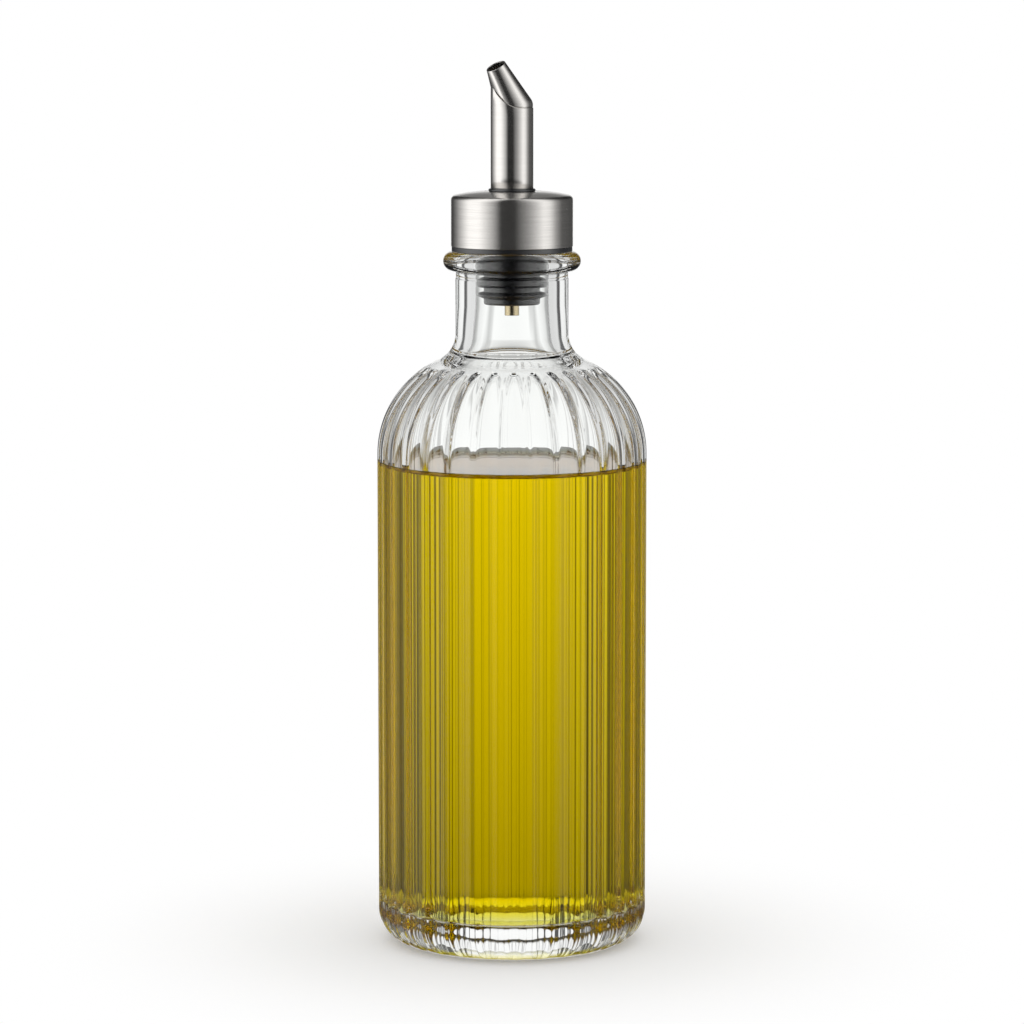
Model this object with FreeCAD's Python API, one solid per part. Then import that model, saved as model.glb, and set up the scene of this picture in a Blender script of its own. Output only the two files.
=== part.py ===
import FreeCAD, Part
import os
from math import acos, asin, atan2, cos, degrees, hypot, radians, sin, sqrt

"""Glass olive oil dispenser: a fluted bottle with oil in it, closed by a pourer pushed into its neck.

The pourer is a rubber stopper with two sealing fins, a brushed steel cap, a spout tube with a drip lip,
an angled nozzle and a thin feed tube that stands out below the stopper.
Sizes are in millimetres. The origin is on the bottle's axis, at the middle of its foot, and +Z is up.
"""

# Glass bottle, outside
BODY_R = 36.5  # over the ridges between the flutes
HEEL_R = 8.6
GLASS_TOP_Z = 188.6
SHOULDER_DEPTH = 54.8  # from the glass's top down to where the shoulder starts to curve in
SHOULDER_CENTRE_R = 8.7  # distance of the shoulder's centre of curvature from the axis
NECK_R = 15.3
NECK_FILLET_R = 8.0
LIP_OVERHANG = 3.3  # how far the rounded lip stands out from the neck
LIP_BEAD_R = 2.6  # half the height of the rounded lip
SEAM_DEPTH = 7.3  # from the glass's top to the fine step that the finish mould leaves on the neck
SEAM_STEP = 0.12
FOOT_RIM = 3.9  # width of the flat ring that the bottle stands on
PUNT_HEIGHT = 1.8  # of the hollow inside that ring

# Glass bottle, inside
WALL = 3.3
FLOOR_Z = 9.5
FLOOR_CORNER_R = 6.0
BORE_R = 10.0  # where the stopper seals
BORE_FLARE = 1.3  # how much wider the bore is at its foot
BORE_FLARE_DEPTH = 14.6  # from the glass's top to where the bore starts to widen
BORE_FOOT_ROUND = 10.0
BORE_MOUTH_ROUND = 0.8

# Flutes
FLUTES = 30
FLUTE_TURN = 1.2  # degrees that the flute nearest the front is turned from it
FLUTE_DEPTH = 0.6
FLUTE_R = 9.0
FLUTE_TOP_ANGLE = 59.0  # degrees up the shoulder where a flute runs out
FLUTE_FOOT_ANGLE = 70.0  # degrees round the heel where a flute runs out
FLUTE_OVERRUN = 2.0  # degrees that the cutter goes on after it has left the glass

# Oil
ULLAGE = 57.2  # from the glass's top down to the oil

# Rubber stopper, its depths counted down from the glass's top
FLANGE_INSET = 0.15  # of the flange's edge from the cap's
FLANGE_THICKNESS = 1.4
STOPPER_END_DEPTH = 14.1
PLUG_GAP = 2.4  # between the plug and the bore
PLUG_END_ROUND = 0.6
ROOT_GAP = 0.4  # between the stopper's thick root and the bore
ROOT_DEPTH = 5.2
FIN_GAP = 0.08  # between a fin's edge and the bore
UPPER_FIN_DEPTHS = (9.3, 8.7, 7.7, 6.6)  # underside, edge bottom, edge top, end of the slope
UPPER_FIN_LEDGE_GAP = 0.7  # between the bore and the edge of the upper fin's flat underside
LOWER_FIN_DEPTHS = (12.5, 11.5, 11.2, 10.7)

# Feed tube
FEED_R = 1.95
FEED_BORE_R = 1.5
FEED_END_DEPTH = 16.8  # from the glass's top
FEED_IN_SPOUT = 0.8  # how far it stands up into the foot of the spout tube

# Steel cap
CAP_R = 16.45
CAP_SIDE_HEIGHT = 13.5
CAP_EDGE_ROUND = 1.3
CAP_CROWN_RISE = 1.2  # of its middle above its side
CAP_LAND_GAP = 0.5  # flat width left round the ring
CAP_SEAT_DEPTH = 4.0  # how deep the spout tube sits in the cap

# Ring round the foot of the spout
RING_WIDTH = 0.6
RING_HEIGHT = 0.8

# Spout tube with its drip lip
SPOUT_R = 5.75
SPOUT_WALL = 0.5
SPOUT_HEIGHT = 22.5  # of its back above the cap
LIP_RISE = 5.5  # of the drip lip's tip above the back
LIP_SCOOP_EXTRA_R = 0.55  # how much wider the scoop is than the tube
LIP_SCOOP_START = 0.6  # the scoop starts this far behind the axis
LIP_AZIMUTH = 198.0  # degrees from +X, seen from above

# Nozzle
NOZZLE_AZIMUTH = 215.0
NOZZLE_TILT = 31.0  # degrees that its mouth is tipped from level
NOZZLE_INSET = 0.8  # how much narrower its foot is than the spout tube
NOZZLE_KNEE_RISE = 1.5  # height of its straight foot above the back of the spout tube
NOZZLE_RISE = 9.65  # from the knee to the middle of the mouth
NOZZLE_REACH = 4.95  # from the axis to the middle of the mouth
NOZZLE_MOUTH_R = 2.7
NOZZLE_FOOT_WALL = 0.95
NOZZLE_MOUTH_WALL = 0.4
NOZZLE_PLUG_DEPTH = 6.0
NOZZLE_GAP = 0.05  # between the drip lip and the nozzle

SHOULDER_Z = GLASS_TOP_Z - SHOULDER_DEPTH
SHOULDER_R = BODY_R - SHOULDER_CENTRE_R
FLANGE_TOP_Z = GLASS_TOP_Z + FLANGE_THICKNESS
CAP_EDGE_Z = FLANGE_TOP_Z + CAP_SIDE_HEIGHT
CAP_CROWN_Z = CAP_EDGE_Z + CAP_CROWN_RISE
SPOUT_BORE_R = SPOUT_R - SPOUT_WALL
SPOUT_SEAT_Z = CAP_CROWN_Z - CAP_SEAT_DEPTH
SPOUT_BACK_Z = CAP_CROWN_Z + SPOUT_HEIGHT
NOZZLE_FOOT_R = SPOUT_R - NOZZLE_INSET
NOZZLE_KNEE_Z = SPOUT_BACK_Z + NOZZLE_KNEE_RISE
NOZZLE_FOOT_SHIFT = NOZZLE_FOOT_R - SPOUT_R  # its back is flush with the spout tube
FAR = 60.0  # longer than any cut needs

AXIS_POINT = FreeCAD.Vector(0, 0, 0)
UP = FreeCAD.Vector(0, 0, 1)


def at(r, z):
    """The point at distance r from the axis and height z, in the XZ plane."""
    return FreeCAD.Vector(r, 0, z)


def arc(centre_r, centre_z, radius, start, end):
    """An arc in the XZ plane, from one angle in degrees to another, counted from outwards towards up."""
    points = []
    for angle in (start, (start + end) / 2, end):
        across = radius * cos(radians(angle))
        rise = radius * sin(radians(angle))
        points.append(at(centre_r + across, centre_z + rise))
    return Part.Arc(*points).toShape()


def turned(*stretches):
    """The solid that a closed outline sweeps out round Z. A stretch is a corner (r, z) or an arc."""
    edges = []
    first = end = None
    for stretch in stretches:
        is_corner = isinstance(stretch, tuple)
        start = at(*stretch) if is_corner else stretch.firstVertex(True).Point
        if end is not None and (start - end).Length > 1e-7:
            edges.append(Part.LineSegment(end, start).toShape())
        if first is None:
            first = start
        end = start
        if not is_corner:
            edges.append(stretch)
            end = stretch.lastVertex(True).Point
    edges.append(Part.LineSegment(end, first).toShape())
    return Part.Face(Part.Wire(edges)).revolve(AXIS_POINT, UP, 360)


def rounded(solid, radius, r, z):
    """The solid with its circular edge at distance r from the axis and height z rounded off."""
    found = []
    for edge in solid.Edges:
        if edge.Degenerated or not isinstance(edge.Curve, Part.Circle):
            continue
        if hypot(edge.Curve.Radius - r, edge.Curve.Center.z - z) < 0.01:
            found.append(edge)
    return solid.makeFillet(radius, found)


def about_axis(shape, angle):
    """A copy of the shape turned about Z, in degrees."""
    copy = shape.copy()
    copy.rotate(AXIS_POINT, UP, angle)
    return copy


def height_on_shoulder(radius, r):
    """Height of the shoulder's arc of that radius at distance r from the axis."""
    return SHOULDER_Z + sqrt(radius**2 - (r - SHOULDER_CENTRE_R) ** 2)


def cavity():
    """The space inside the glass: a wide chamber with a domed shoulder, and the bore above it."""
    inner_r = BODY_R - WALL
    shoulder_r = SHOULDER_R - WALL
    foot_r = BORE_R + BORE_FLARE
    bend = degrees(acos((foot_r - SHOULDER_CENTRE_R) / shoulder_r))
    space = turned(
        (0, FLOOR_Z),
        (inner_r, FLOOR_Z),
        arc(SHOULDER_CENTRE_R, SHOULDER_Z, shoulder_r, 0, bend),
        (BORE_R, GLASS_TOP_Z - BORE_FLARE_DEPTH),
        (BORE_R, GLASS_TOP_Z),
        (0, GLASS_TOP_Z),
    )
    return rounded(space, FLOOR_CORNER_R, inner_r, FLOOR_Z)


def glass_blank():
    """The bottle's outside as a solid of revolution, without flutes."""
    fillet_r = NECK_R + NECK_FILLET_R
    fillet_z = height_on_shoulder(SHOULDER_R + NECK_FILLET_R, fillet_r)
    blend = degrees(atan2(fillet_z - SHOULDER_Z, fillet_r - SHOULDER_CENTRE_R))
    punt_r = BODY_R - HEEL_R - FOOT_RIM
    punt_arc_r = (punt_r**2 + PUNT_HEIGHT**2) / (2 * PUNT_HEIGHT)
    punt_edge = degrees(acos(punt_r / punt_arc_r))
    lip_z = GLASS_TOP_Z - LIP_BEAD_R
    seam_z = GLASS_TOP_Z - SEAM_DEPTH
    return turned(
        arc(0, PUNT_HEIGHT - punt_arc_r, punt_arc_r, 90, punt_edge),
        arc(BODY_R - HEEL_R, HEEL_R, HEEL_R, -90, 0),
        arc(SHOULDER_CENTRE_R, SHOULDER_Z, SHOULDER_R, 0, blend),
        arc(fillet_r, fillet_z, NECK_FILLET_R, 180 + blend, 180),
        (NECK_R, seam_z),
        (NECK_R - SEAM_STEP, seam_z),
        (NECK_R - SEAM_STEP, lip_z - LIP_BEAD_R),
        arc(NECK_R + LIP_OVERHANG - LIP_BEAD_R, lip_z, LIP_BEAD_R, -90, 90),
        (0, GLASS_TOP_Z),
    )


def run_out_radius(edge_r, angle):
    """Radius of the cutter's path round an edge, so that the flute has faded away at that angle."""
    return edge_r + FLUTE_R - FLUTE_DEPTH + FLUTE_DEPTH / (1 - cos(radians(angle)))


def flute_cutters():
    """The round bars, bent over the shoulder and under the heel, that leave the flutes."""
    path_r = BODY_R + FLUTE_R - FLUTE_DEPTH
    top_r = run_out_radius(SHOULDER_R, FLUTE_TOP_ANGLE)
    foot_r = run_out_radius(HEEL_R, FLUTE_FOOT_ANGLE)
    disc = Part.Face(Part.Wire(Part.makeCircle(FLUTE_R, at(path_r, SHOULDER_Z), UP)))
    top_axis = FreeCAD.Vector(0, -1, 0)
    top = disc.revolve(at(path_r - top_r, SHOULDER_Z), top_axis, FLUTE_TOP_ANGLE + FLUTE_OVERRUN)
    disc = disc.translated(at(0, HEEL_R - SHOULDER_Z))
    side = disc.extrude(at(0, SHOULDER_Z - HEEL_R))
    foot_axis = FreeCAD.Vector(0, 1, 0)
    foot = disc.revolve(at(path_r - foot_r, HEEL_R), foot_axis, FLUTE_FOOT_ANGLE + FLUTE_OVERRUN)
    bar = side.fuse([top, foot]).removeSplitter()
    step = 360 / FLUTES
    return [about_axis(bar, -90 + FLUTE_TURN + step * k) for k in range(FLUTES)]


def bottle():
    """One piece of glass: the turned blank, hollowed, with its bore's ends rounded and its flutes cut."""
    foot_r = BORE_R + BORE_FLARE
    glass = glass_blank().cut(cavity())
    glass = rounded(glass, BORE_FOOT_ROUND, foot_r, height_on_shoulder(SHOULDER_R - WALL, foot_r))
    glass = rounded(glass, BORE_MOUTH_ROUND, BORE_R, GLASS_TOP_Z)
    return glass.cut(flute_cutters())


def oil():
    """The space inside the glass up to the level of the oil."""
    return cavity().common(Part.makeCylinder(BODY_R, GLASS_TOP_Z - ULLAGE))


def stopper():
    """One rubber moulding: flange, root, two sealing fins and the plug's end, bored for the feed tube."""
    fin_r = BORE_R - FIN_GAP
    plug_r = BORE_R - PLUG_GAP
    root_r = BORE_R - ROOT_GAP
    flange_r = CAP_R - FLANGE_INSET
    end_z = GLASS_TOP_Z - STOPPER_END_DEPTH
    root_z = GLASS_TOP_Z - ROOT_DEPTH
    upper_under, upper_low, upper_high, upper_top = (GLASS_TOP_Z - depth for depth in UPPER_FIN_DEPTHS)
    lower_under, lower_low, lower_high, lower_top = (GLASS_TOP_Z - depth for depth in LOWER_FIN_DEPTHS)
    body = turned(
        (FEED_R, end_z),
        (plug_r, end_z),
        (plug_r, lower_under),
        (fin_r, lower_low),
        (fin_r, lower_high),
        (plug_r, lower_top),
        (plug_r, upper_under),
        (BORE_R - UPPER_FIN_LEDGE_GAP, upper_under),
        (fin_r, upper_low),
        (fin_r, upper_high),
        (plug_r, upper_top),
        (plug_r, root_z),
        (root_r, root_z),
        (root_r, GLASS_TOP_Z),
        (flange_r, GLASS_TOP_Z),
        (flange_r, FLANGE_TOP_Z),
        (FEED_R, FLANGE_TOP_Z),
    )
    return rounded(body, PLUG_END_ROUND, plug_r, end_z)


def feed_tube():
    end_z = GLASS_TOP_Z - FEED_END_DEPTH
    top_z = SPOUT_SEAT_Z + FEED_IN_SPOUT
    return turned((FEED_BORE_R, end_z), (FEED_R, end_z), (FEED_R, top_z), (FEED_BORE_R, top_z))


def cap():
    """The steel cap: a low dome on straight sides, with a seat for the spout tube."""
    land_r = SPOUT_R + RING_WIDTH + CAP_LAND_GAP
    dome_r = ((CAP_R - land_r) ** 2 + CAP_CROWN_RISE**2) / (2 * CAP_CROWN_RISE)
    dome_end = 90 - degrees(asin((CAP_R - land_r) / dome_r))
    body = turned(
        (FEED_R, FLANGE_TOP_Z),
        (CAP_R, FLANGE_TOP_Z),
        (CAP_R, CAP_EDGE_Z),
        arc(land_r, CAP_CROWN_Z - dome_r, dome_r, dome_end, 90),
        (SPOUT_R, CAP_CROWN_Z),
        (SPOUT_R, SPOUT_SEAT_Z),
        (FEED_R, SPOUT_SEAT_Z),
    )
    return rounded(body, CAP_EDGE_ROUND, CAP_R, CAP_EDGE_Z)


def o_ring():
    bulge = RING_HEIGHT / 2
    shoulder_r = SPOUT_R + RING_WIDTH - bulge
    return turned(
        (SPOUT_R, CAP_CROWN_Z),
        arc(shoulder_r, CAP_CROWN_Z + bulge, bulge, -90, 90),
        (SPOUT_R, CAP_CROWN_Z + RING_HEIGHT),
    )


def tapered(foot_r, mouth_r):
    """A cone from a level circle at the knee to the tipped circle of the mouth, leaning towards +X."""
    foot = Part.Wire(Part.makeCircle(foot_r))
    foot.translate(at(NOZZLE_FOOT_SHIFT, NOZZLE_KNEE_Z))
    mouth = Part.Wire(Part.makeCircle(mouth_r))
    mouth.rotate(AXIS_POINT, FreeCAD.Vector(0, 1, 0), NOZZLE_TILT)
    mouth.translate(at(NOZZLE_REACH, NOZZLE_KNEE_Z + NOZZLE_RISE))
    return Part.makeLoft([foot, mouth], True, True)


def nozzle_shape(foot_r, mouth_r, foot_z):
    """The cone on its straight foot, which goes down to the given height."""
    foot = Part.makeCylinder(foot_r, NOZZLE_KNEE_Z - foot_z, at(NOZZLE_FOOT_SHIFT, foot_z))
    return foot.fuse(tapered(foot_r, mouth_r))


def nozzle():
    plug_z = SPOUT_BACK_Z - NOZZLE_PLUG_DEPTH
    plug = Part.makeCylinder(SPOUT_BORE_R, NOZZLE_PLUG_DEPTH, at(0, plug_z))
    outside = nozzle_shape(NOZZLE_FOOT_R, NOZZLE_MOUTH_R, SPOUT_BACK_Z).fuse(plug)
    passage = nozzle_shape(
        NOZZLE_FOOT_R - NOZZLE_FOOT_WALL, NOZZLE_MOUTH_R - NOZZLE_MOUTH_WALL, plug_z
    )
    return about_axis(outside.cut(passage), NOZZLE_AZIMUTH)


def spout_tube():
    """A straight tube cut level at the back, its front scooped up into a lip that catches drips."""
    tip_z = SPOUT_BACK_Z + LIP_RISE
    tube = turned(
        (SPOUT_BORE_R, SPOUT_SEAT_Z),
        (SPOUT_R, SPOUT_SEAT_Z),
        (SPOUT_R, tip_z),
        (SPOUT_BORE_R, tip_z),
    )
    half = FAR / 2
    scoop_r = SPOUT_R + LIP_SCOOP_EXTRA_R
    behind = Part.makeBox(FAR, FAR, FAR, FreeCAD.Vector(-FAR - LIP_SCOOP_START, -half, SPOUT_BACK_Z))
    scoop_end = FreeCAD.Vector(-LIP_SCOOP_START, -half, SPOUT_BACK_Z + scoop_r)
    scoop = Part.makeCylinder(scoop_r, FAR, scoop_end, FreeCAD.Vector(0, 1, 0))
    waste = about_axis(behind.fuse(scoop), LIP_AZIMUTH)
    room = nozzle_shape(NOZZLE_FOOT_R + NOZZLE_GAP, NOZZLE_MOUTH_R + NOZZLE_GAP, SPOUT_BACK_Z)
    return tube.cut(waste).cut(about_axis(room, NOZZLE_AZIMUTH))


def main():
    os.makedirs("parts", exist_ok=True)
    for make in (bottle, oil, stopper, feed_tube, cap, o_ring, spout_tube, nozzle):
        shape = make()
        solids = shape.Solids
        if len(solids) != 1:
            raise ValueError(f"{make.__name__} came out as {len(solids)} solids")
        if not shape.isValid():
            raise ValueError(f"{make.__name__} is not a valid solid")
        solids[0].exportStep(f"parts/{make.__name__}.step")
        box = solids[0].BoundBox
        print(f"{make.__name__}: {solids[0].Volume:.0f} mm3, z {box.ZMin:.2f} to {box.ZMax:.2f}")


main()
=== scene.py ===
"""Looks of a glass olive oil dispenser: fluted glass, oil, rubber stopper and brushed steel pourer.

Every length is in metres. The bottle stands on the plane z = 0 with its axis on Z, and its front faces -Y.
"""

import bpy
import numpy as np
from bpy.props import FloatProperty, FloatVectorProperty, IntProperty, PointerProperty
from bpy.types import Operator, Panel, PropertyGroup
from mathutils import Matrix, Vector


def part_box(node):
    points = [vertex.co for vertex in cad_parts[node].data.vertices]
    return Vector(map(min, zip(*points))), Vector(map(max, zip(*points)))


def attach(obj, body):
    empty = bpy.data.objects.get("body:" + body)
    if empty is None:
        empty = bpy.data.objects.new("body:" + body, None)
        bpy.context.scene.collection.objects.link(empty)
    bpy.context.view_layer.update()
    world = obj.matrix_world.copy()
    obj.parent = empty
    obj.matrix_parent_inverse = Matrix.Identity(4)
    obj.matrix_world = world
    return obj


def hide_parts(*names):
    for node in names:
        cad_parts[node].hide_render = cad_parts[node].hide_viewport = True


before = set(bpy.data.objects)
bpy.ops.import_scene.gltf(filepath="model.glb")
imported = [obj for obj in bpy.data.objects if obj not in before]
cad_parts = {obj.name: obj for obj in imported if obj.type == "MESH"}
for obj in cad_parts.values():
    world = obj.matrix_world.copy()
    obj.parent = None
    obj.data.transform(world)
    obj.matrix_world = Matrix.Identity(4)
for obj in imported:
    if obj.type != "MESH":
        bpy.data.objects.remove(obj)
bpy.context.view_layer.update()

bl_info = {
    "name": "Olive Oil Dispenser",
    "version": (1, 0, 0),
    "blender": (4, 5, 0),
    "location": "3D View > Sidebar > Dispenser",
    "description": "Builds a fluted glass bottle of olive oil with a brushed steel pourer",
    "category": "Add Mesh",
}

MM = 0.001


def frame_box(node):
    """Lowest and highest corner of a node of the frame, as two arrays."""
    low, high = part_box(node)
    return np.array(low), np.array(high)


def half_width(node):
    """Half the width of a node along X, which is the radius of a turned piece."""
    low, high = frame_box(node)
    return float(high[0] - low[0]) / 2


def bottom(node):
    """Height of a node's lowest point."""
    return float(frame_box(node)[0][2])


def top(node):
    """Height of a node's highest point."""
    return float(frame_box(node)[1][2])


# ---------------------------------------------------------------- sizes and colours


def linear(code):
    """The linear red, green and blue of an sRGB hex colour."""
    channels = [int(code[place:place + 2], 16) / 255 for place in (1, 3, 5)]
    return [c / 12.92 if c <= 0.04045 else ((c + 0.055) / 1.055) ** 2.4 for c in channels]


def size(name, description, default):
    """A length that a user may change."""
    return FloatProperty(name=name, description=description, default=default, unit="LENGTH", precision=5)


def colour(name, description, code):
    """A colour that a user may change, from its sRGB hex value."""
    return FloatVectorProperty(
        name=name, description=description, default=linear(code), size=3, min=0, max=1, subtype="COLOR"
    )


def amount(name, description, default):
    """A plain number that a user may change."""
    return FloatProperty(name=name, description=description, default=default)


def angle(name, description, degrees):
    """An angle that a user may change."""
    return FloatProperty(name=name, description=description, default=np.radians(degrees), subtype="ANGLE")


class GlassSettings(PropertyGroup):
    """Sizes and tint of the glass bottle."""

    body_radius: size("Body radius", "Over the ridges between the flutes", half_width("bottle"))
    glass_top: size("Glass top", "Height of the top of the lip", top("bottle"))
    heel_radius: size("Heel", "Rounding between the side and the foot", 8.6 * MM)
    shoulder_depth: size("Shoulder depth", "From the glass's top to the shoulder's start", 54.8 * MM)
    shoulder_centre: size("Shoulder centre", "Its centre of curvature from the axis", 8.7 * MM)
    neck_radius: size("Neck radius", "Outside of the neck", 15.3 * MM)
    neck_fillet: size("Neck fillet", "Hollow curve between shoulder and neck", 8.0 * MM)
    lip_overhang: size("Lip overhang", "How far the lip stands out from the neck", 3.3 * MM)
    lip_bead: size("Lip bead", "Half the height of the rounded lip", 2.6 * MM)
    seam_depth: size("Seam depth", "From the glass's top to the mould's step", 7.3 * MM)
    seam_step: size("Seam step", "Height of the mould's step", 0.12 * MM)
    foot_rim: size("Foot rim", "Width of the ring that it stands on", 3.9 * MM)
    punt: size("Punt", "Height of the hollow under the foot", 3.0 * MM)
    wall: size("Wall", "Thickness of the side", half_width("bottle") - half_width("oil"))
    floor: size("Floor", "Height of the inside's floor", bottom("oil"))
    floor_corner: size("Floor corner", "Rounding inside at the floor", 6.0 * MM)
    floor_rise: size("Floor rise", "Height of the low dome in the inside's floor", 2.2 * MM)
    bore_radius: size("Bore", "Inside of the neck where the stopper seals", 10.0 * MM)
    bore_flare: size("Bore flare", "How much wider the bore is at its foot", 1.3 * MM)
    flare_depth: size("Flare depth", "From the glass's top to the flare's start", 14.6 * MM)
    bore_foot: size("Bore foot", "Rounding at the bore's foot", 10.0 * MM)
    throat_ridge: size("Throat ridge", "Height of the ridge that the plunger left inside", 0.4 * MM)
    throat_height: size("Throat height", "Height of that ridge above the foot", 159.8 * MM)
    throat_width: size("Throat width", "From the middle of that ridge to where it falls to a third", 0.55 * MM)
    mouth_round: size("Mouth", "Rounding at the mouth", 0.8 * MM)
    flutes: IntProperty(name="Flutes", description="Number of hollows round the body", default=30)
    flute_turn: angle("Flute turn", "Of the flute nearest the front, from the front", 1.2)
    flute_depth: size("Flute depth", "Below the ridges", 0.6 * MM)
    flute_radius: size("Flute radius", "Of a flute's hollow", 9.0 * MM)
    ridge_round: size("Ridge softness", "How far fire polishing has rounded the ridges", 0.16 * MM)
    inner_share: amount("Inner flutes", "Part of the flutes' depth that the inside follows", 0.92)
    inner_round: size("Inner softness", "How far the ridges are rounded inside", 0.9 * MM)
    flute_top: angle("Flute top", "How far up the shoulder the flutes run", 60)
    flute_foot: angle("Flute foot", "How far round the heel the flutes run", 76)
    ripple: size("Ripple", "Unevenness of the blown inside", 0.12 * MM)
    tint: colour("Glass", "Tint of the glass", "#FEFFFE")


class OilSettings(PropertyGroup):
    """Sizes and colour of the oil."""

    level: size("Level", "Height of the oil's surface away from the glass", top("oil") - 1.1 * MM)
    fine_width: size("Fine width", "Of the surface's edge that has fine rings", 9.0 * MM)
    reach: size("Reach", "How far the oil reaches into the wall, so that no air shows", 0.15 * MM)
    meniscus_rise: size("Meniscus", "How far the oil climbs the glass", 1.5 * MM)
    meniscus_width: size("Meniscus width", "Distance in which the climb falls to a third", 1.1 * MM)
    passed: colour("Oil", "Light that oil lets through, before its strength", "#FCF849")
    strength: amount("Strength", "Absorption for each metre", 150.0)


class PourerSettings(PropertyGroup):
    """Sizes and colours of the stopper, cap, spout and nozzle."""

    plug_gap: size("Plug gap", "Between the plug and the bore", 2.4 * MM)
    root_gap: size("Root gap", "Between the thick root and the bore", 0.4 * MM)
    fin_gap: size("Fin gap", "Between a fin's edge and the bore", 0.08 * MM)
    rubber_round: size("Rubber rounding", "Of the moulding's edges", 0.18 * MM)
    plug_round: size("Plug rounding", "Of the plug's lower edge", 0.6 * MM)
    fin_edge_round: size("Fin rounding", "Of the lower fin's thin edge", 0.1 * MM)
    root_depth: size("Root depth", "From the glass's top to the root's underside", 5.2 * MM)
    fin_ledge: size("Fin ledge", "Between the bore and the edge of the upper fin's flat underside", 0.7 * MM)
    cap_round: size("Cap rounding", "Of the cap's upper edge", 1.3 * MM)
    cap_crown: size("Cap crown", "Rise of the cap's middle above its side", 1.2 * MM)
    cap_land: size("Cap land", "Flat width left round the ring", 0.5 * MM)
    steel_round: size("Steel rounding", "Of thin steel edges", 0.09 * MM)
    tube_wall: size("Tube wall", "Of the spout tube", 0.5 * MM)
    feed_wall: size("Feed tube wall", "Of the feed tube", 0.45 * MM)
    foot_wall: size("Nozzle foot wall", "At the nozzle's foot", 0.95 * MM)
    groove: size("Groove", "Fine groove between nozzle and spout", 0.12 * MM)
    lip_rise: size("Lip rise", "Of the drip lip's tip above the tube's back", 5.5 * MM)
    scoop_extra: size("Scoop", "How much wider the scoop is than the tube", 0.55 * MM)
    scoop_start: size("Scoop start", "How far behind the axis the scoop starts", 0.6 * MM)
    lip_azimuth: angle("Lip direction", "From +X, seen from above", 198)
    nozzle_azimuth: angle("Nozzle direction", "From +X, seen from above", 215)
    nozzle_tilt: angle("Nozzle tilt", "Of its mouth from level", 31)
    nozzle_inset: size("Nozzle inset", "How far its foot is set in behind the drip lip", 0.52 * MM)
    foot_flush: size("Nozzle flush", "How far its foot is set in at the back", 0.1 * MM)
    nozzle_knee: size("Nozzle knee", "Height of its straight foot", 1.5 * MM)
    nozzle_rise: size("Nozzle rise", "From the knee to the middle of the mouth", 9.65 * MM)
    nozzle_reach: size("Nozzle reach", "From the axis to the middle of the mouth", 5.3 * MM)
    nozzle_mouth: size("Nozzle mouth", "Radius of its mouth", 2.75 * MM)
    nozzle_wall: size("Nozzle wall", "At the mouth", 0.4 * MM)
    knee_round: size("Knee rounding", "Length of the bend at the knee", 1.0 * MM)
    rubber: colour("Rubber", "Moulded charcoal rubber", "#17181B")
    steel: colour("Steel", "Brushed stainless steel", "#E4E1DD")
    drawn: colour("Drawn steel", "The feed tube's warmer steel", "#D3C3A0")
    brush_line: size("Brush line", "Height of one brushed line, drawn coarser than real", 0.16 * MM)


class StageSettings(PropertyGroup):
    """The floor, the light and the camera."""

    floor_radius: size("Floor radius", "Of the pale floor", 0.2)
    shade_start: size("Shade start", "From the axis to where the shadow starts to fade", 0.055)
    shade_end: size("Shade end", "From the axis to where it has gone", 0.135)
    floor_share: amount("Shadow share", "Part of the floor's light that a shadow takes away", 0.8)
    camera_distance: size("Camera distance", "In front of the bottle's axis", 1.2)
    camera_height: size("Camera height", "Above the floor", 0.268)
    aim_height: size("Aim height", "Where on the axis the camera looks", 0.1177)
    lens: amount("Lens", "Focal length in millimetres on a 36 mm sensor", 156.5)


def settings(name):
    """The group of settings with this name."""
    return getattr(bpy.context.scene, "dispenser_" + name)


# ---------------------------------------------------------------- outlines and surfaces


def line(start, end, steps):
    """Evenly spaced points from start to end, without the end."""
    share = np.arange(steps)[:, None] / steps
    return np.asarray(start) * (1 - share) + np.asarray(end) * share


def arc(centre, radius, start, end, steps, crowding=1.0):
    """Points on a circle from one angle to another, in radians from outwards towards up, without the end.

    With a crowding above 1 the points stand closer together towards the end.
    """
    share = 1 - (1 - np.arange(steps) / steps) ** crowding
    turn = start + (end - start) * share
    return np.stack((centre[0] + radius * np.cos(turn), centre[1] + radius * np.sin(turn)), axis=1)


def bend(start, corner, end, steps):
    """Points on the parabola that leaves start towards the corner and arrives at end from it."""
    share = np.arange(steps)[:, None] / steps
    first, second = (np.asarray(point) for point in (start, corner))
    return first * (1 - share) ** 2 + 2 * second * share * (1 - share) + np.asarray(end) * share**2


def rounded_outline(corners, support=0.05 * MM, steps=6):
    """A closed outline through corners (r, z, rounding).

    Each corner becomes an arc that touches both of its sides. A point stands a little way along each side
    from the arc, so that the flat sides shade flat.
    """
    spots = np.array([corner[:2] for corner in corners])
    points = []
    for index, (_, _, radius) in enumerate(corners):
        spot = spots[index]
        before = spots[index - 1] - spot
        after = spots[(index + 1) % len(corners)] - spot
        before /= np.linalg.norm(before)
        after /= np.linalg.norm(after)
        half = np.arccos(np.clip(before @ after, -1, 1)) / 2
        reach = radius / np.tan(half)
        middle = spot + (before + after) / np.linalg.norm(before + after) * radius / np.sin(half)
        start = spot + before * reach - middle
        end = spot + after * reach - middle
        sweep = np.pi - 2 * half
        share = np.linspace(0, 1, steps + 1)[:, None]
        turned = (np.sin((1 - share) * sweep) * start + np.sin(share * sweep) * end) / np.sin(sweep)
        points += [[spot + before * (reach + support)], middle + turned, [spot + after * (reach + support)]]
    return np.vstack(points)


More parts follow.
